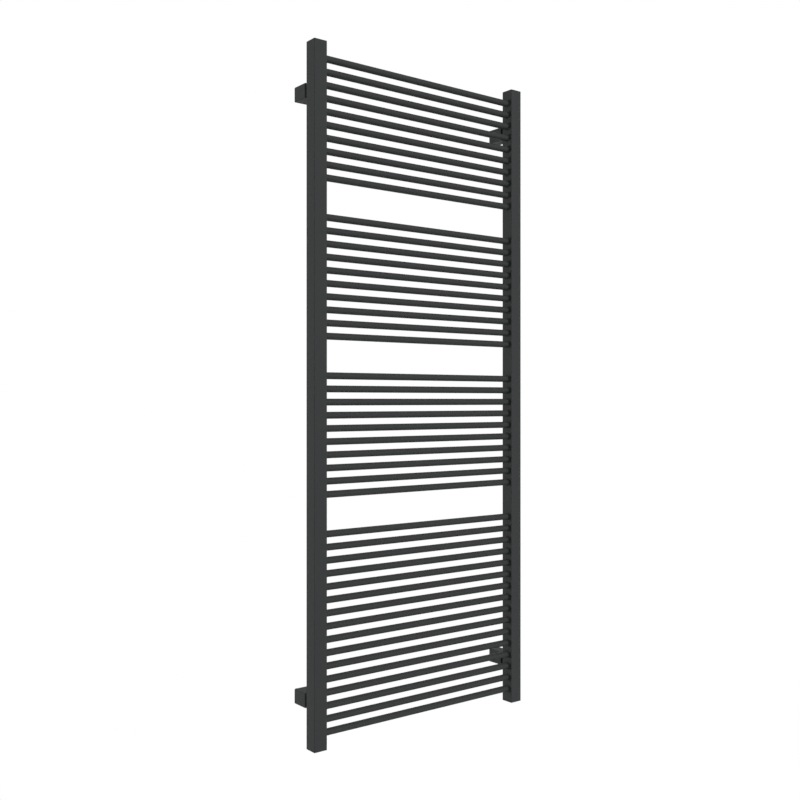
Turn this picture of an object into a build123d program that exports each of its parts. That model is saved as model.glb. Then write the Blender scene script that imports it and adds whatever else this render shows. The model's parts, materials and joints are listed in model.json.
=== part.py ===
"""Ladder towel radiator with telescopic wall brackets and an air vent, in millimetres.

The origin is on the wall, in the middle of the four wall fixings. +X runs to the right for someone who faces
the radiator, +Y goes into the wall and +Z is up.
"""

import os

from build123d import *

os.makedirs("parts", exist_ok=True)

# Overall size
overall_height = 1500
overall_width = 600

# Collectors: upright square tubes, closed by a cap on top and a valve socket below
collector_size = 32
collector_wall = 1.5
collector_corner = 1.5
cap_thickness = 2
socket_height = 14
socket_bore = 21

# Cross tubes, in banks named from the top
tube_counts = {"top": 10, "upper": 10, "lower": 10, "bottom": 16}
free_places = 2
tube_diameter = 15
end_to_first_tube = 32.5

# Wall brackets: a sleeve that is screwed to the wall slides on a square peg of the collector
bracket_from_end = 101
bracket_gap = 5
sleeve_length = 44
sleeve_height = 32
sleeve_chamfer = 1.5
sleeve_base = 6
peg_size = 18
slide_gap = 0.1
wall_screw_hole = 6.5
wall_screw_room = 6

# Grub screw in the underside of each sleeve, which clamps the peg
grub_diameter = 6
grub_from_front = 12
grub_recess = 0.5
grub_tip_gap = 0.1
grub_hex = 3
grub_hex_depth = 3

# Air vent, screwed into a weld nut inside the back of one collector
vent_side = "left"
vent_from_top = 26
vent_thread = 15
nut_size = 20
nut_thickness = 7
seal_diameter = 18.6
seal_thickness = 1.2
vent_hex = 17
vent_hex_height = 3.5

# Nozzle ring, which turns on the spigot of the vent body
spigot_diameter = 11
spigot_length = 2.8
ring_diameter = 16
ring_play = 0.2
spout_width = 2
spout_reach = 3.5

# Vent screw, with a square head for the bleed key
vent_screw_diameter = 5
vent_screw_depth = 9
vent_channel = 2
vent_head = 5
vent_head_height = 3.5

# Clearance of screwed pieces
thread_gap = 0.05

# Places that follow from the sizes
top = overall_height / 2
collector_back = -(bracket_gap + sleeve_length)
collector_y = collector_back - collector_size / 2
collector_x = (overall_width - collector_size) / 2
collector_bottom = -top + socket_height
collector_length = overall_height - socket_height - cap_thickness
collector_inside = collector_size - 2 * collector_wall
tube_length = overall_width - 2 * collector_size
tube_places = sum(tube_counts.values()) + free_places * (len(tube_counts) - 1)
tube_pitch = (overall_height - 2 * end_to_first_tube) / (tube_places - 1)
bracket_z = top - bracket_from_end

sides = {"left": -1, "right": 1}
ends = {"upper": 1, "lower": -1}
vent_x = sides[vent_side] * collector_x
vent_z = top - vent_from_top


def facing_wall(x, y, z):
    """Sketch plane that looks into the wall, with its own y axis up."""
    return Plane((x, y, z), x_dir=(-1, 0, 0), z_dir=(0, 1, 0))


def facing_down(x, y, z):
    """Sketch plane that looks at the floor."""
    return Plane((x, y, z), x_dir=(1, 0, 0), z_dir=(0, 0, -1))


# Collectors and their top caps; one collector has a hole in its back for the vent
for side, sign in sides.items():
    x = sign * collector_x
    with BuildPart() as collector:
        with BuildSketch(Plane((x, collector_y, collector_bottom))):
            RectangleRounded(collector_size, collector_size, collector_corner)
            Rectangle(collector_inside, collector_inside, mode=Mode.SUBTRACT)
        extrude(amount=collector_length)
        if side == vent_side:
            with Locations(facing_wall(vent_x, collector_back, vent_z)):
                Hole(vent_thread / 2, depth=collector_size / 2)
    collector.part.label = f"{side}_collector"
    export_step(collector.part, f"parts/{side}_collector.step")

    with BuildPart() as top_cap:
        with BuildSketch(Plane((x, collector_y, top - cap_thickness))):
            RectangleRounded(collector_size, collector_size, collector_corner)
        extrude(amount=cap_thickness)
    top_cap.part.label = f"{side}_top_cap"
    export_step(top_cap.part, f"parts/{side}_top_cap.step")

# Valve sockets: square end blocks whose threaded bores open into the collectors
with BuildPart() as valve_sockets:
    with BuildSketch(Plane((0, collector_y, -top))):
        with Locations((-collector_x, 0), (collector_x, 0)):
            RectangleRounded(collector_size, collector_size, collector_corner)
            Circle(socket_bore / 2, mode=Mode.SUBTRACT)
    extrude(amount=socket_height)
valve_sockets.part.label = "valve_sockets"
export_step(valve_sockets.part, "parts/valve_sockets.step")

# Tube banks: every tube is a solid of its own that butts on both collectors
next_place = 0
for bank, count in tube_counts.items():
    first_height = top - end_to_first_tube - next_place * tube_pitch
    with BuildPart() as tube_bank:
        with BuildSketch(Plane.YZ.offset(-tube_length / 2)):
            with Locations(*[(collector_y, first_height - n * tube_pitch) for n in range(count)]):
                Circle(tube_diameter / 2)
        extrude(amount=tube_length)
    tube_bank.part.label = f"{bank}_tube_bank"
    export_step(tube_bank.part, f"parts/{bank}_tube_bank.step")
    next_place += count + free_places

# Wall brackets
sleeve_front = -sleeve_length
peg_end = -sleeve_base - wall_screw_room - bracket_gap
peg_length = peg_end - collector_back
grub_y = sleeve_front + grub_from_front
grub_top = -peg_size / 2 - grub_tip_gap
grub_bottom = -sleeve_height / 2 + grub_recess

for side, sign in sides.items():
    for end, up in ends.items():
        x = sign * collector_x
        z = up * bracket_z

        # Peg: a square bar that is welded to the back of the collector
        with BuildPart() as peg:
            with BuildSketch(facing_wall(x, collector_back, z)):
                Rectangle(peg_size, peg_size)
            extrude(amount=peg_length)
        peg.part.label = f"{side}_{end}_bracket_peg"
        export_step(peg.part, f"parts/{side}_{end}_bracket_peg.step")

        # Sleeve: a block as wide as the collector, with a blind square bore and a wall screw hole in its base
        with BuildPart() as sleeve:
            with BuildSketch(facing_wall(x, sleeve_front, z)):
                Rectangle(collector_size, sleeve_height)
            extrude(amount=sleeve_length)
            chamfer(sleeve.edges(), sleeve_chamfer)
            with BuildSketch(facing_wall(x, sleeve_front, z)):
                Rectangle(peg_size + 2 * slide_gap, peg_size + 2 * slide_gap)
            extrude(amount=sleeve_length - sleeve_base, mode=Mode.SUBTRACT)
            with Locations(facing_wall(x, 0, z)):
                Hole(wall_screw_hole / 2, depth=sleeve_base)
            with Locations(facing_down(x, grub_y, z - sleeve_height / 2)):
                Hole(grub_diameter / 2, depth=sleeve_height / 2)
        sleeve.part.label = f"{side}_{end}_bracket_sleeve"
        export_step(sleeve.part, f"parts/{side}_{end}_bracket_sleeve.step")

        # Grub screw: headless, with a hexagon socket that is turned from below
        with BuildPart() as grub_screw:
            with BuildSketch(facing_down(x, grub_y, z + grub_top)):
                Circle(grub_diameter / 2 - thread_gap)
            extrude(amount=grub_top - grub_bottom)
            with BuildSketch(facing_down(x, grub_y, z + grub_bottom)):
                RegularPolygon(grub_hex / 2, 6, major_radius=False)
            extrude(amount=-grub_hex_depth, mode=Mode.SUBTRACT)
        grub_screw.part.label = f"{side}_{end}_grub_screw"
        export_step(grub_screw.part, f"parts/{side}_{end}_grub_screw.step")

# Air vent, from the inside of the collector outwards
nut_y = collector_back - collector_wall - nut_thickness
hex_y = collector_back + seal_thickness
spigot_y = hex_y + vent_hex_height
vent_face_y = spigot_y + spigot_length

with BuildPart() as vent_weld_nut:
    with BuildSketch(facing_wall(vent_x, nut_y, vent_z)):
        Rectangle(nut_size, nut_size)
        Circle(vent_thread / 2, mode=Mode.SUBTRACT)
    extrude(amount=nut_thickness)
vent_weld_nut.part.label = "vent_weld_nut"
export_step(vent_weld_nut.part, "parts/vent_weld_nut.step")

with BuildPart() as vent_seal:
    with BuildSketch(facing_wall(vent_x, collector_back, vent_z)):
        Circle(seal_diameter / 2)
        Circle(vent_thread / 2, mode=Mode.SUBTRACT)
    extrude(amount=seal_thickness)
vent_seal.part.label = "vent_seal"
export_step(vent_seal.part, "parts/vent_seal.step")

# Vent body: threaded shank, hexagon and spigot, with a channel that the vent screw closes
with BuildPart() as vent_body:
    with BuildSketch(facing_wall(vent_x, nut_y, vent_z)):
        Circle(vent_thread / 2 - thread_gap)
    extrude(amount=hex_y - nut_y)
    with BuildSketch(facing_wall(vent_x, hex_y, vent_z)):
        RegularPolygon(vent_hex / 2, 6, major_radius=False)
    extrude(amount=vent_hex_height)
    with BuildSketch(facing_wall(vent_x, spigot_y, vent_z)):
        Circle(spigot_diameter / 2)
    extrude(amount=spigot_length)
    with Locations(facing_wall(vent_x, vent_face_y, vent_z)):
        CounterBoreHole(vent_channel / 2, vent_screw_diameter / 2, vent_screw_depth)
vent_body.part.label = "vent_body"
export_step(vent_body.part, "parts/vent_body.step")

# Nozzle ring: a loose fit on the spigot, with a spout that points down
with BuildPart() as vent_nozzle:
    with BuildSketch(facing_wall(vent_x, spigot_y + ring_play, vent_z)):
        Circle(ring_diameter / 2)
        Rectangle(spout_width, ring_diameter / 2 + spout_reach, align=(Align.CENTER, Align.MAX))
        Circle(spigot_diameter / 2 + thread_gap, mode=Mode.SUBTRACT)
    extrude(amount=spigot_length - 2 * ring_play)
vent_nozzle.part.label = "vent_nozzle"
export_step(vent_nozzle.part, "parts/vent_nozzle.step")

# Vent screw: its tip closes the channel at the bottom of the vent body's bore
vent_screw_tip = vent_face_y - vent_screw_depth + thread_gap
vent_head_y = vent_face_y + ring_play
with BuildPart() as vent_screw:
    with BuildSketch(facing_wall(vent_x, vent_screw_tip, vent_z)):
        Circle(vent_screw_diameter / 2 - thread_gap)
    extrude(amount=vent_head_y - vent_screw_tip)
    with BuildSketch(facing_wall(vent_x, vent_head_y, vent_z)):
        Rectangle(vent_head, vent_head)
    extrude(amount=vent_head_height)
vent_screw.part.label = "vent_screw"
export_step(vent_screw.part, "parts/vent_screw.step")
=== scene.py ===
# %% [markdown]
# # A ladder towel radiator
# The radiator is a welded steel ladder: two square upright collectors with banks of round tubes between
# them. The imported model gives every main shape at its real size, in metres. This lesson loads it, gives
# each surface a finish that holds up close, and adds what a welder, a thread tap and a mould leave behind.

# %% Load the frame
import json
import math

import bmesh
import bpy
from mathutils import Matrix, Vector


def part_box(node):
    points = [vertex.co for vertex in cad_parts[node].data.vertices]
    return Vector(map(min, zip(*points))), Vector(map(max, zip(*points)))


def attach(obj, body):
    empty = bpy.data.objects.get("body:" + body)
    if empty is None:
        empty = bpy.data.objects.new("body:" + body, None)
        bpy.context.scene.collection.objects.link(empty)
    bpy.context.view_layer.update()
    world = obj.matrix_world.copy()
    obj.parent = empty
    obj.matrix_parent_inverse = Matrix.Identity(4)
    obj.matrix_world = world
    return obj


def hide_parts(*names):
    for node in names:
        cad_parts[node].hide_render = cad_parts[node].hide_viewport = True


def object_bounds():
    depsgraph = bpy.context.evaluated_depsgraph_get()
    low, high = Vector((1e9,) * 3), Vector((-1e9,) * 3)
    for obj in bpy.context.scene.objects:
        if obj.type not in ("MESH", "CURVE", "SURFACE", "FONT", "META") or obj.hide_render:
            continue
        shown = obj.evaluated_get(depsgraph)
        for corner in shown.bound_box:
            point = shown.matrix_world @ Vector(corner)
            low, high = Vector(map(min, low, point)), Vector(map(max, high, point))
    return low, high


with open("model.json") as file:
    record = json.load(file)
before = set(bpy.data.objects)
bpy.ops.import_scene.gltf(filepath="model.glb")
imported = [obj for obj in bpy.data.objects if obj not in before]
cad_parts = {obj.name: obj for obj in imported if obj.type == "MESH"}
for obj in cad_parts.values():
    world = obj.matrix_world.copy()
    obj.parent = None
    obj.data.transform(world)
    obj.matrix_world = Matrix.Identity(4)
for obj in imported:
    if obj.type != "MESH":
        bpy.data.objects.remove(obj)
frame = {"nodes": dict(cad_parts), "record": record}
cad_box = [list(corner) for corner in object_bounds()]
nodes = frame["nodes"]
MM = 0.001
print(len(nodes), "nodes, box", cad_box)

# %% [markdown]
# ## The camera
# The picture is taken from the left front, level, a little below the radiator's middle. A lens of about 44
# mm on a 36 mm sensor gives the same convergence of the tubes. The camera comes first, because every later
# choice is judged through it.

# %% Camera
camera_place = Vector((-1.4139, -1.8362, -0.0096))
camera_turn = math.radians(-37.35)
camera_lens = 44.49
sensor_width = 36

bpy.ops.object.camera_add(location=camera_place, rotation=(math.radians(90), 0, camera_turn))
camera = bpy.context.object
camera.data.lens = camera_lens
camera.data.sensor_width = sensor_width
bpy.context.scene.camera = camera
bpy.context.scene.view_settings.view_transform = "Standard"
print("camera", round(camera_place.length, 3), "m from the middle of the wall fixings")

# %% [markdown]
# ## The studio
# The background is pure white, and the light is soft: the front and the left side of a collector are
# equally bright, and undersides are a little darker. The tubes throw short, dark shadows forward on the
# inner side of the right collector, so one lamp stands far off at the left rear. A wide lamp in front lights
# the tubes, and a wide, dim one behind keeps the wall side readable. A white world shows to the camera and
# in reflections only, so that it doesn't wash the dark coat out. For everything else the world is a soft
# dome, brighter overhead than below.

# %% Helpers for node trees
def add_node(tree, kind, **settings):
    """Add a shader node, with plain settings and socket values given by name."""
    node = tree.nodes.new(kind)
    for name, value in settings.items():
        if hasattr(node, name):
            setattr(node, name, value)
        else:
            node.inputs[name.replace("_", " ")].default_value = value
    return node


def link(tree, source, output, target, input_name):
    """Join an output to an input, both by name or number."""
    tree.links.new(source.outputs[output], target.inputs[input_name])


def shown_rays(tree):
    """A value that is 1 for rays from the camera, in reflections and through glass, and 0 for all others."""
    path = add_node(tree, "ShaderNodeLightPath")
    camera_or_glossy = add_node(tree, "ShaderNodeMath", operation="MAXIMUM")
    shown = add_node(tree, "ShaderNodeMath", operation="MAXIMUM")
    link(tree, path, "Is Camera Ray", camera_or_glossy, 0)
    link(tree, path, "Is Glossy Ray", camera_or_glossy, 1)
    link(tree, camera_or_glossy, 0, shown, 0)
    link(tree, path, "Is Transmission Ray", shown, 1)
    return shown


# %% World
light_from_above = 0.40
light_from_below = 0.06

world = bpy.data.worlds.new("studio_world")
bpy.context.scene.world = world
world.use_nodes = True
tree = world.node_tree
tree.nodes.clear()
direction = add_node(tree, "ShaderNodeTexCoord")
split = add_node(tree, "ShaderNodeSeparateXYZ")
dome = add_node(tree, "ShaderNodeMapRange", From_Min=-1.0, From_Max=1.0, To_Min=light_from_below,
                To_Max=light_from_above)
ambient = add_node(tree, "ShaderNodeBackground", Color=(1, 1, 1, 1))
white = add_node(tree, "ShaderNodeBackground", Color=(1, 1, 1, 1), Strength=1.0)
shown = shown_rays(tree)
mix = add_node(tree, "ShaderNodeMixShader")
world_output = add_node(tree, "ShaderNodeOutputWorld")
link(tree, direction, "Generated", split, 0)
link(tree, split, "Z", dome, "Value")
link(tree, dome, 0, ambient, "Strength")
link(tree, shown, 0, mix, 0)
link(tree, ambient, 0, mix, 1)
link(tree, white, 0, mix, 2)
link(tree, mix, 0, world_output, "Surface")
print("dome from", light_from_below, "below to", light_from_above, "above")

# %% Lamps
def add_softbox(name, direction, distance, size, power):
    """Add a square area lamp that looks back at the origin and isn't seen by the camera."""
    place = Vector(direction).normalized() * distance
    turn = (-place).to_track_quat("-Z", "Y").to_euler()
    bpy.ops.object.light_add(type="AREA", location=place, rotation=turn)
    lamp = bpy.context.object
    lamp.name = name
    lamp.data.shape = "SQUARE"
    lamp.data.size = size
    lamp.data.energy = power
    lamp.visible_camera = False


add_softbox("key_softbox", direction=(0.25, -1.0, 0.26), distance=9.0, size=6.0, power=625)
add_softbox("side_softbox", direction=(-1.0, 0.55, 0.0), distance=12.0, size=2.6, power=600)
add_softbox("back_softbox", direction=(0.45, 1.0, 0.1), distance=4.5, size=9.0, power=130)

# %% [markdown]
# ## The floor
# A wall radiator hangs clear of the floor. The floor is a pale disc that fades out towards its rim, so that
# it catches a soft shadow under the radiator and leaves no horizon in the picture. A glow that shows to the
# camera and in reflections only lifts it to the white of the background.

# %% Floor
floor_drop = 0.60
floor_radius = 2.2
floor_sides = 96
fade_start = 0.25 * floor_radius
fade_end = 0.97 * floor_radius
floor_shade = 0.7
floor_lift = 0.57

floor_height = cad_box[0][2] - floor_drop
bpy.ops.object.select_all(action="DESELECT")
bpy.ops.mesh.primitive_circle_add(vertices=floor_sides, radius=floor_radius, fill_type="NGON",
                                  location=(0, 0, floor_height))
floor = bpy.context.object
floor.name = "floor"
bpy.ops.object.transform_apply(location=True, rotation=True, scale=True)

pale = bpy.data.materials.new("pale_floor")
pale.use_nodes = True
tree = pale.node_tree
tree.nodes.clear()
place = add_node(tree, "ShaderNodeTexCoord")
flat = add_node(tree, "ShaderNodeVectorMath", operation="MULTIPLY")
flat.inputs[1].default_value = (1, 1, 0)
reach = add_node(tree, "ShaderNodeVectorMath", operation="LENGTH")
fade = add_node(tree, "ShaderNodeMapRange", interpolation_type="SMOOTHSTEP", From_Min=fade_start,
                From_Max=fade_end)
matt = add_node(tree, "ShaderNodeBsdfDiffuse", Color=(floor_shade, floor_shade, floor_shade, 1))
shown = shown_rays(tree)
lift = add_node(tree, "ShaderNodeMath", operation="MULTIPLY")
lift.inputs[1].default_value = floor_lift
glow = add_node(tree, "ShaderNodeEmission", Color=(1, 1, 1, 1))
lit = add_node(tree, "ShaderNodeAddShader")
clear = add_node(tree, "ShaderNodeBsdfTransparent")
mix = add_node(tree, "ShaderNodeMixShader")
output = add_node(tree, "ShaderNodeOutputMaterial")
link(tree, place, "Object", flat, 0)
link(tree, flat, 0, reach, 0)
link(tree, reach, "Value", fade, "Value")
link(tree, shown, 0, lift, 0)
link(tree, lift, 0, glow, "Strength")
link(tree, matt, 0, lit, 0)
link(tree, glow, 0, lit, 1)
link(tree, fade, 0, mix, 0)
link(tree, lit, 0, mix, 1)
link(tree, clear, 0, mix, 2)
link(tree, mix, 0, output, "Surface")
floor.data.materials.append(pale)
print("floor", round(floor_height, 3))

# %% [markdown]
# ## The powder coat
# The steel is sprayed with a dry powder and baked. That leaves an anthracite skin with a fine, even orange
# peel and hardly any shine. Two noises do it: a fine one raises the peel and moves the shade with it, and a
# finer one is the grain of the powder, which breaks up the shine. The skin also rounds every sharp edge by
# a fraction of a millimetre, which a bevel node does in the shading.

# %% A base for every finish
def start_finish(name, **values):
    """A new material with its shader, its object coordinates and plain socket values."""
    material = bpy.data.materials.new(name)
    material.use_nodes = True
    tree = material.node_tree
    shader = tree.nodes["Principled BSDF"]
    for socket, value in values.items():
        shader.inputs[socket.replace("_", " ")].default_value = value
    return material, tree, shader, add_node(tree, "ShaderNodeTexCoord")


def noise(tree, place, scale, detail, stretch=(1, 1, 1)):
    """A noise on object coordinates, stretched along an axis where its factor is below 1."""
    texture = add_node(tree, "ShaderNodeTexNoise", Scale=scale, Detail=detail)
    mapping = add_node(tree, "ShaderNodeMapping", Scale=stretch)
    link(tree, place, "Object", mapping, "Vector")
    link(tree, mapping, 0, texture, "Vector")
    return texture


def vary_colour(tree, shader, texture, colour, spread):
    """Let a noise move the colour up and down by a share."""
    shade = add_node(tree, "ShaderNodeMix", data_type="RGBA")
    shade.inputs["A"].default_value = [(1 - spread) * part for part in colour] + [1]
    shade.inputs["B"].default_value = [(1 + spread) * part for part in colour] + [1]
    link(tree, texture, "Fac", shade, "Factor")
    link(tree, shade, "Result", shader, "Base Color")


def vary_roughness(tree, shader, texture, low, high):
    """Let a noise move the roughness between two values."""
    shine = add_node(tree, "ShaderNodeMapRange", To_Min=low, To_Max=high)
    link(tree, texture, "Fac", shine, "Value")
    link(tree, shine, 0, shader, "Roughness")


def add_bump(tree, shader, texture, strength, depth, edge):
    """Let a noise raise the surface, and round the edges in the shading."""
    rounding = add_node(tree, "ShaderNodeBevel", samples=6, Radius=edge)
    bump = add_node(tree, "ShaderNodeBump", Strength=strength, Distance=depth)
    link(tree, texture, "Fac", bump, "Height")
    link(tree, rounding, 0, bump, "Normal")
    link(tree, bump, "Normal", shader, "Normal")


# %% Powder coat
coat_colour = (0.0370, 0.0399, 0.0405)

coat, tree, shader, place = start_finish("anthracite_powder_coat", Specular_IOR_Level=0.118)
peel = noise(tree, place, scale=1000.0, detail=3.0)
grain = noise(tree, place, scale=2600.0, detail=1.0)
vary_colour(tree, shader, peel, coat_colour, spread=0.14)
vary_roughness(tree, shader, grain, low=0.56, high=0.80)
add_bump(tree, shader, peel, strength=0.5, depth=0.18 * MM, edge=0.5 * MM)
print(coat.name)

# %% [markdown]
# ## Small metals, rubber and plastic
# The air vent is turned brass with nickel plate, so it shows fine turning marks. The clamp screws are
# blackened steel. The nut inside the collector is bare steel. The seal is matt rubber, and the nozzle is
# pale moulded plastic.

# %% Nickel plate
nickel, tree, shader, place = start_finish("nickel_plate", Metallic=1.0)
turning = noise(tree, place, scale=900.0, detail=2.0, stretch=(1, 0.15, 1))
cloud = noise(tree, place, scale=90.0, detail=2.0)
vary_colour(tree, shader, cloud, colour=(0.62, 0.60, 0.55), spread=0.05)
vary_roughness(tree, shader, turning, low=0.20, high=0.36)
add_bump(tree, shader, turning, strength=0.2, depth=0.02 * MM, edge=0.15 * MM)
print(nickel.name)

# %% Blackened and bare steel
blackened, tree, shader, place = start_finish("blackened_steel", Metallic=0.85)
cloud = noise(tree, place, scale=300.0, detail=3.0)
vary_colour(tree, shader, cloud, colour=(0.035, 0.035, 0.038), spread=0.25)
vary_roughness(tree, shader, cloud, low=0.38, high=0.55)
add_bump(tree, shader, cloud, strength=0.2, depth=0.02 * MM, edge=0.1 * MM)

bare, tree, shader, place = start_finish("bare_steel", Metallic=1.0)
cloud = noise(tree, place, scale=240.0, detail=4.0)
vary_colour(tree, shader, cloud, colour=(0.45, 0.45, 0.46), spread=0.12)
vary_roughness(tree, shader, cloud, low=0.34, high=0.52)
add_bump(tree, shader, cloud, strength=0.25, depth=0.03 * MM, edge=0.2 * MM)
print(blackened.name, bare.name)

# %% Rubber and plastic
rubber, tree, shader, place = start_finish("seal_rubber", Specular_IOR_Level=0.3)
skin = noise(tree, place, scale=1500.0, detail=2.0)
vary_colour(tree, shader, skin, colour=(0.018, 0.018, 0.018), spread=0.15)
vary_roughness(tree, shader, skin, low=0.70, high=0.86)
add_bump(tree, shader, skin, strength=0.3, depth=0.03 * MM, edge=0.15 * MM)

plastic, tree, shader, place = start_finish("nozzle_plastic", Specular_IOR_Level=0.45)
skin = noise(tree, place, scale=1200.0, detail=2.0)
vary_colour(tree, shader, skin, colour=(0.74, 0.74, 0.71), spread=0.02)
vary_roughness(tree, shader, skin, low=0.36, high=0.46)
add_bump(tree, shader, skin, strength=0.15, depth=0.02 * MM, edge=0.2 * MM)
print(rubber.name, plastic.name)

# %% Dress the nodes of the frame
finish_of_slot = {"powder_coat": coat, "dark_steel": blackened, "plain_steel": bare, "nickel_plate": nickel,
                  "seal_rubber": rubber, "nozzle_plastic": plastic}


def dress(item, slot):
    """Give an object the one finish of a material slot."""
    item.data.materials.clear()
    item.data.materials.append(finish_of_slot[slot])


for subpart in frame["record"]["subparts"]:
    dress(nodes[subpart["node"]], subpart["material_slot"])

# %% [markdown]
# ## Tools for modelling
# A piece starts as a primitive, is shaped in edit mode with faces or edges picked by their place, and ends
# as an object at the origin whose place is in its mesh. These helpers do the steps that come back every
# time.

# %% Helpers for modelling
round_sides = 72
merge_distance = 0.001 * MM
# How much of a normal lies along an axis that its face looks along, and the same for the run of an edge
facing_share = 0.9
aligned_share = 0.99


def begin():
    """Deselect everything, so that an operator acts on the new piece alone."""
    bpy.ops.object.select_all(action="DESELECT")


def take(piece):
    """Select one piece alone and make it the active one."""
    begin()
    piece.select_set(True)
    bpy.context.view_layer.objects.active = piece


def settle(name):
    """Name the active object and put its place, turn and scale into its mesh."""
    piece = bpy.context.object
    piece.name = name
    bpy.ops.object.transform_apply(location=True, rotation=True, scale=True)
    return piece


def add_block(name, low, high):
    """A block between two corners, as the start of a piece."""
    begin()
    bpy.ops.mesh.primitive_cube_add(size=1, location=(low + high) / 2, scale=high - low)
    return settle(name)


def pick(kind, test):
    """In edit mode, select only the faces, edges or vertices that pass a test, and count them."""
    bpy.ops.mesh.select_mode(type=kind)
    bpy.ops.mesh.select_all(action="DESELECT")
    data = bpy.context.object.data
    mesh = bmesh.from_edit_mesh(data)
    found = {"VERT": mesh.verts, "EDGE": mesh.edges, "FACE": mesh.faces}[kind]
    chosen = [part for part in found if test(part)]
    for part in chosen:
        part.select_set(True)
    bmesh.update_edit_mesh(data)
    return len(chosen)


def middle(part):
    """The middle of an edge or a face."""
    return sum((corner.co for corner in part.verts), Vector()) / len(part.verts)


def along(edge, axis):
    """True for an edge that runs along an axis, 0 to 2."""
    run = (edge.verts[1].co - edge.verts[0].co).normalized()
    return abs(run[axis]) > aligned_share


def apply_modifier(piece, kind, **settings):
    """Add a modifier and apply it."""
    modifier = piece.modifiers.new(kind.lower(), kind)
    for name, value in settings.items():
        setattr(modifier, name, value)
    bpy.context.view_layer.objects.active = piece
    bpy.ops.object.modifier_apply(modifier=modifier.name)


def cut(piece, operation, cutter):
    """Cut a piece with another one, which is used up."""
    apply_modifier(piece, "BOOLEAN", operation=operation, object=cutter, solver="EXACT")
    bpy.data.objects.remove(cutter)


def copy_piece(piece, name, shift=(0, 0, 0)):
    """A copy with its own mesh, moved in its mesh."""
    take(piece)
    bpy.ops.object.duplicate(linked=False)
    bpy.ops.transform.translate(value=shift)
    return settle(name)


def join(pieces, name):
    """Join pieces into one object."""
    begin()
    for piece in pieces:
        piece.select_set(True)
    bpy.context.view_layer.objects.active = pieces[0]
    bpy.ops.object.join()
    pieces[0].name = name
    return pieces[0]


def turn_ring(name, place, axis, section, sides):
    """A closed ring round the x axis (0) or the y axis (1), whose circle is extruded along a section.

    Each point of the section is a distance along the axis, from the place, and a radius.
    """
    step = Vector((1, 0, 0)) if axis == 0 else Vector((0, 1, 0))
    turn = (0, math.radians(90), 0) if axis == 0 else (math.radians(90), 0, 0)
    begin()
    bpy.ops.mesh.primitive_circle_add(vertices=sides, radius=section[0][1], rotation=turn,
                                      location=place + step * section[0][0])
    ring = settle(name)
    bpy.ops.object.mode_set(mode="EDIT")
    bpy.ops.mesh.select_mode(type="VERT")
    bpy.ops.mesh.select_all(action="SELECT")
    for (start, radius), (stop, next_radius) in zip(section, section[1:]):
        grow = next_radius / radius
        spread = (1, grow, grow) if axis == 0 else (grow, 1, grow)
        bpy.ops.mesh.extrude_region_move(TRANSFORM_OT_translate={"value": step * (stop - start)})
        bpy.ops.transform.resize(value=spread, center_override=place + step * stop)
    pick("EDGE", lambda edge: edge.is_boundary)
    bpy.ops.mesh.bridge_edge_loops()
    bpy.ops.mesh.select_all(action="SELECT")
    bpy.ops.mesh.normals_make_consistent(inside=False)
    bpy.ops.object.mode_set(mode="OBJECT")
    return ring


def finish_piece(piece, slot, body="radiator", smooth_angle=35):
    """Merge doubled points, turn faces outwards, smooth, and give the piece its finish and its body."""
    take(piece)
    bpy.ops.object.mode_set(mode="EDIT")
    bpy.ops.mesh.select_all(action="SELECT")
    bpy.ops.mesh.remove_doubles(threshold=merge_distance)
    bpy.ops.mesh.normals_make_consistent(inside=False)
    bpy.ops.object.mode_set(mode="OBJECT")
    bpy.ops.object.shade_smooth_by_angle(angle=math.radians(smooth_angle))
    dress(piece, slot)
    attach(piece, body)
    print(piece.name, len(piece.data.polygons), "faces")


# %% [markdown]
# ## Weld beads at the tube ends
# Every tube is welded to both collectors, and the bead shows under the coat as a narrow fillet with fine
# ripples. A torus would stand proud of both surfaces, so the bead is a ring with a fillet's section
# instead: a circle is extruded along the section's points, and every second point is drawn out a little to
# make the ripples. One bead serves a whole side: an array repeats it down each bank.

# %% Sizes taken from the frame
left_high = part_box("left_collector")[1]
bank_low, bank_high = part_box("top_tube_bank")
tube_radius = (bank_high.y - bank_low.y) / 2
tube_y = (bank_high.y + bank_low.y) / 2
tube_counts = frame["record"]["physics"]["collision_pieces"]
tube_pitch = (bank_high.z - bank_low.z - 2 * tube_radius) / (tube_counts["top_tube_bank"] - 1)
print("tube radius", round(tube_radius / MM, 2), "pitch", round(tube_pitch / MM, 3))

# %% One weld bead
weld_leg = 1.5 * MM
weld_sink = 0.3 * MM
weld_ripples = 24
ripple_height = 0.30 * MM
bead_face = [(0.14, 0.92), (0.52, 0.52), (0.92, 0.14)]

bead_profile = [(-weld_sink, -weld_sink), (-weld_sink, weld_leg)]
bead_profile += [(run * weld_leg, rise * weld_leg) for run, rise in bead_face]
bead_profile += [(weld_leg, -weld_sink)]
bead_section = [(along_tube, tube_radius + off_tube) for along_tube, off_tube in bead_profile]
bead_place = Vector((left_high.x, tube_y, bank_high.z - tube_radius))
bead = turn_ring("tube_weld", bead_place, axis=0, section=bead_section, sides=2 * weld_ripples)


def on_ripple(corner):
    """True for every second point round the outside of the bead."""
    spoke = corner.co - bead_place
    turn = math.atan2(spoke.z, spoke.y) / math.tau * 2 * weld_ripples
    return round(turn) % 2 == 0 and spoke.x > 0 and spoke.yz.length > tube_radius


bpy.ops.object.mode_set(mode="EDIT")
pick("VERT", on_ripple)
swell = 1 + ripple_height / tube_radius
bpy.ops.transform.resize(value=(swell, swell, swell), center_override=bead_place)
bpy.ops.object.mode_set(mode="OBJECT")
print(bead.name, len(bead.data.polygons), "faces")

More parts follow.
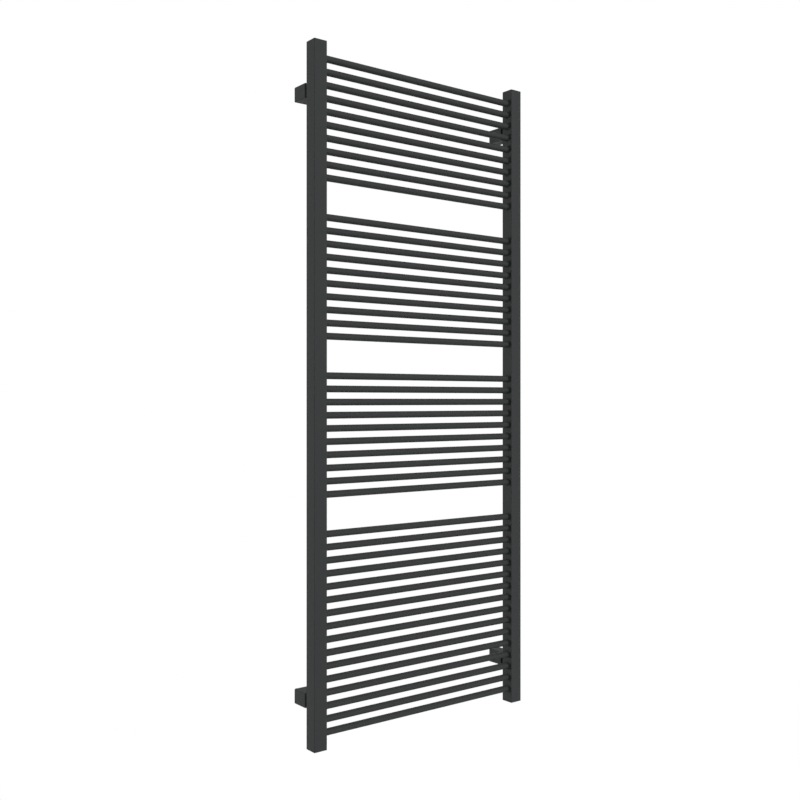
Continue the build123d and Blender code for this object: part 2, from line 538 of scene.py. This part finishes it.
# %% A side of weld beads, and its mirror image
rows = []
for bank, count in tube_counts.items():
    drop = bank_high.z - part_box(bank)[1].z
    row = copy_piece(bead, bank + "_welds", shift=(0, 0, -drop))
    apply_modifier(row, "ARRAY", count=count, use_relative_offset=False, use_constant_offset=True,
                   constant_offset_displace=(0, 0, -tube_pitch))
    rows.append(row)
bpy.data.objects.remove(bead)
left_tube_welds = join(rows, "left_tube_welds")
right_tube_welds = copy_piece(left_tube_welds, "right_tube_welds")
bpy.ops.transform.resize(value=(-1, 1, 1), center_override=(0, 0, 0))
bpy.ops.object.transform_apply(location=True, rotation=True, scale=True)
for welds in (left_tube_welds, right_tube_welds):
    finish_piece(welds, "powder_coat", smooth_angle=60)

# %% [markdown]
# ## Top caps
# A plate closes each collector. It is welded all round and ground flush, so its upper edge is softly
# rounded and a hair-fine seam is left below it. A block is bevelled three times: its corners to the
# collector's own radius, its upper edges round, and its lower edges by a hair for the seam.

# %% Top caps
corner_radius = 1.5 * MM
corner_steps = 5
cap_rounding = 0.7 * MM
rounding_steps = 4
seam = 0.2 * MM
level_slack = 0.01 * MM


def round_block(piece, free_side, free_rounding):
    """Round a block's upright edges, the edges of its free end and, by a hair, those of its welded end."""
    bottom = piece.bound_box[0][2]
    top = piece.bound_box[6][2]
    free_end, welded_end = (top, bottom) if free_side > 0 else (bottom, top)
    take(piece)
    bpy.ops.object.mode_set(mode="EDIT")
    pick("EDGE", lambda edge: along(edge, 2))
    bpy.ops.mesh.bevel(offset=corner_radius, segments=corner_steps, affect="EDGES")
    for height, width, steps in ((free_end, free_rounding, rounding_steps), (welded_end, seam, 1)):
        pick("EDGE", lambda edge: not along(edge, 2) and abs(middle(edge).z - height) < level_slack)
        bpy.ops.mesh.bevel(offset=width, segments=steps, affect="EDGES")
    bpy.ops.object.mode_set(mode="OBJECT")


for side in ("left", "right"):
    low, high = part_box(side + "_top_cap")
    cap = add_block(side + "_rounded_cap", low, high)
    round_block(cap, free_side=1, free_rounding=cap_rounding)
    finish_piece(cap, "powder_coat")
    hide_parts(side + "_top_cap")

# %% [markdown]
# ## Valve sockets
# The lower end of each collector is a thick block with a half-inch pipe thread, for the valve that the
# plumber brings. The block is rounded like the cap. A cutter with a flared mouth takes the bore out of it.
# The thread starts as a circle of three points, a wedge whose crest is towards the middle of the bore, and
# a screw modifier draws it along a helix. Such a circle is one and a half radii high and the root of three
# radii wide, which sets the wedge's size.

# %% Socket blocks
socket_rounding = 0.8 * MM
mouth_flare = 0.9 * MM
bore_spare = 1 * MM
bore_radius = next(mount["dims"]["r_mm"] for mount in frame["record"]["mounts"]
                   if mount["name"] == "left_valve_thread") * MM

sockets_low, sockets_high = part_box("valve_sockets")
block_width = sockets_high.y - sockets_low.y
blocks = []
bores = []
for side, block_x in (("left", sockets_low.x), ("right", sockets_high.x - block_width)):
    low = Vector((block_x, sockets_low.y, sockets_low.z))
    high = low + Vector((block_width, block_width, sockets_high.z - sockets_low.z))
    block = add_block(side + "_socket", low, high)
    round_block(block, free_side=-1, free_rounding=socket_rounding)

    # The cutter is a cylinder whose lower end is drawn out to a cone, past the mouth of the bore
    mouth = Vector(((low.x + high.x) / 2, (low.y + high.y) / 2, low.z))
    bore_start = mouth.z + mouth_flare
    bore_stop = high.z + bore_spare
    begin()
    bpy.ops.mesh.primitive_cylinder_add(vertices=round_sides, radius=bore_radius,
                                        depth=bore_stop - bore_start,
                                        location=(mouth.x, mouth.y, (bore_start + bore_stop) / 2))
    cutter = settle("bore_cutter")
    bpy.ops.object.mode_set(mode="EDIT")
    pick("FACE", lambda face: face.normal.z < -facing_share)
    bpy.ops.mesh.extrude_region_move(TRANSFORM_OT_translate={"value": (0, 0, -2 * mouth_flare)})
    grow = (bore_radius + 2 * mouth_flare) / bore_radius
    bpy.ops.transform.resize(value=(grow, grow, 1), center_override=mouth)
    bpy.ops.object.mode_set(mode="OBJECT")
    cut(block, "DIFFERENCE", cutter)
    blocks.append(block)
    bores.append(mouth)
sockets = join(blocks, "threaded_sockets")
finish_piece(sockets, "powder_coat", smooth_angle=30)
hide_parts("valve_sockets")

# %% Pipe thread
thread_pitch = 1.814 * MM
thread_depth = 1.16 * MM
thread_sink = 0.15 * MM
thread_width = 0.94 * thread_pitch
thread_start = 1.5 * MM
thread_turns = 6
thread_steps = 48
triangle_height = 1.5
triangle_width = math.sqrt(3)

wedge_radius = (thread_depth + thread_sink) / triangle_height
wedge_shift = Vector((bore_radius + thread_sink - wedge_radius / 2, 0, thread_start + thread_width / 2))
stretch = thread_width / (triangle_width * wedge_radius)
threads = []
for mouth in bores:
    begin()
    bpy.ops.mesh.primitive_circle_add(vertices=3, radius=wedge_radius, location=mouth,
                                      rotation=(math.radians(90), math.radians(-90), 0))
    bpy.ops.object.transform_apply(location=False, rotation=True, scale=False)
    wedge = bpy.context.object
    bpy.ops.object.mode_set(mode="EDIT")
    bpy.ops.mesh.select_all(action="SELECT")
    bpy.ops.transform.resize(value=(1, 1, stretch), center_override=mouth)
    bpy.ops.transform.translate(value=wedge_shift)
    bpy.ops.object.mode_set(mode="OBJECT")
    apply_modifier(wedge, "SCREW", axis="Z", angle=math.tau, screw_offset=thread_pitch,
                   iterations=thread_turns, steps=thread_steps, render_steps=thread_steps,
                   use_merge_vertices=False, use_smooth_shade=False)
    thread = settle("thread")

    # Close both ends of the helix
    bpy.ops.object.mode_set(mode="EDIT")
    bpy.ops.mesh.select_all(action="SELECT")
    bpy.ops.mesh.fill_holes(sides=3)
    bpy.ops.object.mode_set(mode="OBJECT")
    threads.append(thread)
pipe_threads = join(threads, "pipe_threads")
finish_piece(pipe_threads, "plain_steel", smooth_angle=25)

# %% [markdown]
# ## Welds at the bracket pegs
# Each bracket slides on a square peg that is welded to the collector's back. The bead has to stay lower
# than the gap that is left when the bracket is pushed right up to the collector, so it is a thin collar: a
# flat block whose wall side is drawn in to the size of the peg.

# %% Peg welds
peg_bead = 0.8 * MM
bead_corner = 0.6 * MM
bead_steps = 3

collars = []
for side in ("left", "right"):
    for end in ("upper", "lower"):
        low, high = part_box(f"{side}_{end}_bracket_peg")
        spread = Vector((peg_bead, 0, peg_bead))
        collar = add_block("peg_collar", low - spread, Vector((high.x, low.y + peg_bead, high.z)) + spread)
        bpy.ops.object.mode_set(mode="EDIT")
        pick("FACE", lambda face: face.normal.y > facing_share)
        shrink = (high.x - low.x) / (high.x - low.x + 2 * peg_bead)
        bpy.ops.transform.resize(value=(shrink, 1, shrink), center_override=(low + high) / 2)
        pick("EDGE", lambda edge: abs(edge.verts[0].co.y - edge.verts[1].co.y) > 0.1 * peg_bead)
        bpy.ops.mesh.bevel(offset=bead_corner, segments=bead_steps, affect="EDGES")
        bpy.ops.object.mode_set(mode="OBJECT")
        collars.append(collar)
peg_welds = join(collars, "bracket_peg_welds")
finish_piece(peg_welds, "powder_coat")

# %% [markdown]
# ## The air vent
# The vent lets air out of the top of the radiator. Its brass body has a hexagon with turned corners, its
# screw has a square head for the bleed key, and a loose plastic ring round the body leads the water down
# through a small spout. The hexagon is cut by a turned shape, the head is a bevelled block, and the ring is
# a circle extruded round its section, with the spout drawn out of its lower faces.

# %% Vent body
body_low, body_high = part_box("vent_body")
seal_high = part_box("vent_seal")[1]
ring_low, ring_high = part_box("vent_nozzle")
vent_axis = Vector(((body_low.x + body_high.x) / 2, 0, (body_low.z + body_high.z) / 2))
hexagon_corner = (body_high.x - body_low.x) / 2
hexagon_flat = (body_high.z - body_low.z) / 2
hexagon_height = 3.5 * MM
corner_slope = 0.9 * MM
shank_radius = 7.45 * MM
spigot_radius = 5.5 * MM
spigot_edge = 0.35 * MM
screw_bore = 2.5 * MM
screw_bore_depth = 9 * MM
channel_radius = 1 * MM
shank_reach = 1 * MM

hexagon_start = seal_high.y
hexagon_end = hexagon_start + hexagon_height
shank_end = hexagon_start + shank_reach
bore_end = body_high.y - screw_bore_depth
body_section = [(body_low.y, channel_radius), (body_low.y, shank_radius), (shank_end, shank_radius),
                (shank_end, spigot_radius), (body_high.y - spigot_edge, spigot_radius),
                (body_high.y, spigot_radius - spigot_edge), (body_high.y, screw_bore), (bore_end, screw_bore),
                (bore_end, channel_radius)]
turned_part = turn_ring("vent_shank", vent_axis, axis=1, section=body_section, sides=round_sides)

begin()
bpy.ops.mesh.primitive_cylinder_add(vertices=6, radius=hexagon_corner, depth=hexagon_height,
                                    location=vent_axis + Vector((0, hexagon_start + hexagon_height / 2, 0)),
                                    rotation=(math.radians(90), math.radians(30), 0))
hexagon = settle("vent_hexagon")
print("hexagon across flats", round(2 * hexagon_flat / MM, 2), "mm")

# %% Turned corners of the hexagon
lathe_bore = spigot_radius - 0.5 * MM
lathe_start = hexagon_start - 1 * MM
lathe_face = 0.96 * hexagon_flat
lathe_sides = 96

corner_section = [(lathe_start, lathe_bore), (lathe_start, hexagon_corner),
                  (hexagon_end - corner_slope, hexagon_corner), (hexagon_end, lathe_face),
                  (hexagon_end, lathe_bore)]
corner_cutter = turn_ring("corner_cutter", vent_axis, axis=1, section=corner_section, sides=lathe_sides)
cut(hexagon, "INTERSECT", corner_cutter)
vent_body = join([turned_part, hexagon], "turned_vent_body")
finish_piece(vent_body, "nickel_plate", smooth_angle=25)
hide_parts("vent_body")

# %% Vent screw
head_height = 3.5 * MM
head_edge = 0.4 * MM
head_steps = 3
screw_sides = 48
screw_radius = 2.45 * MM
tip_radius = 1.2 * MM
tip_length = 1.2 * MM
shank_in_head = 0.5 * MM

screw_low, screw_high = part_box("vent_screw")
head_start = screw_high.y - head_height
head = add_block("square_head", Vector((screw_low.x, head_start, screw_low.z)), screw_high)
bpy.ops.object.mode_set(mode="EDIT")
pick("EDGE", lambda edge: along(edge, 1) or middle(edge).y > screw_high.y - 0.1 * head_height)
bpy.ops.mesh.bevel(offset=head_edge, segments=head_steps, affect="EDGES")
bpy.ops.object.mode_set(mode="OBJECT")

# The shank is a cylinder whose inner end is drawn out to a narrow tip
shank_start = screw_low.y + tip_length
shank_stop = head_start + shank_in_head
begin()
bpy.ops.mesh.primitive_cylinder_add(vertices=screw_sides, radius=screw_radius,
                                    depth=shank_stop - shank_start,
                                    location=vent_axis + Vector((0, (shank_start + shank_stop) / 2, 0)),
                                    rotation=(math.radians(90), 0, 0))
shank = settle("vent_screw_shank")
bpy.ops.object.mode_set(mode="EDIT")
pick("FACE", lambda face: face.normal.y < -facing_share)
bpy.ops.mesh.extrude_region_move(TRANSFORM_OT_translate={"value": (0, -tip_length, 0)})
narrow = tip_radius / screw_radius
bpy.ops.transform.resize(value=(narrow, 1, narrow), center_override=vent_axis + Vector((0, screw_low.y, 0)))
bpy.ops.object.mode_set(mode="OBJECT")
bleed_screw = join([head, shank], "bleed_screw")
finish_piece(bleed_screw, "nickel_plate", body="vent_screw")
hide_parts("vent_screw")

# %% Nozzle ring
ring_sides = 50
ring_bore = 5.55 * MM
ring_edge = 0.3 * MM
ring_steps = 3
ring_sharp = 40
spout_half = 1 * MM
spout_rise = 0.5 * MM
spout_wall = 0.4 * MM
spout_depth = 2.5 * MM

ring_radius = (ring_high.x - ring_low.x) / 2
ring_bottom = vent_axis.z - ring_radius
ring_section = [(ring_low.y, ring_bore), (ring_low.y, ring_radius), (ring_high.y, ring_radius),
                (ring_high.y, ring_bore)]
nozzle = turn_ring("moulded_nozzle", vent_axis, axis=1, section=ring_section, sides=ring_sides)

# The spout is drawn down from the lowest faces, its end is made flat, and a bore is sunk into it
bpy.ops.object.mode_set(mode="EDIT")
spout_faces = pick("FACE", lambda face: abs(middle(face).x - vent_axis.x) < spout_half
                   and abs(middle(face).z - ring_bottom) < spout_rise)
bpy.ops.mesh.extrude_region_move(TRANSFORM_OT_translate={"value": (0, 0, ring_low.z - ring_bottom)})
bpy.ops.transform.resize(value=(1, 1, 0), center_override=(vent_axis.x, 0, ring_low.z))
bpy.ops.mesh.inset(thickness=spout_wall)
bpy.ops.mesh.extrude_region_move(TRANSFORM_OT_translate={"value": (0, 0, spout_depth)})
bpy.ops.object.mode_set(mode="OBJECT")
apply_modifier(nozzle, "BEVEL", width=ring_edge, segments=ring_steps, limit_method="ANGLE",
               angle_limit=math.radians(ring_sharp))
finish_piece(nozzle, "nozzle_plastic", body="vent_nozzle", smooth_angle=ring_sharp)
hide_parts("vent_nozzle")
print("spout from", spout_faces, "faces")
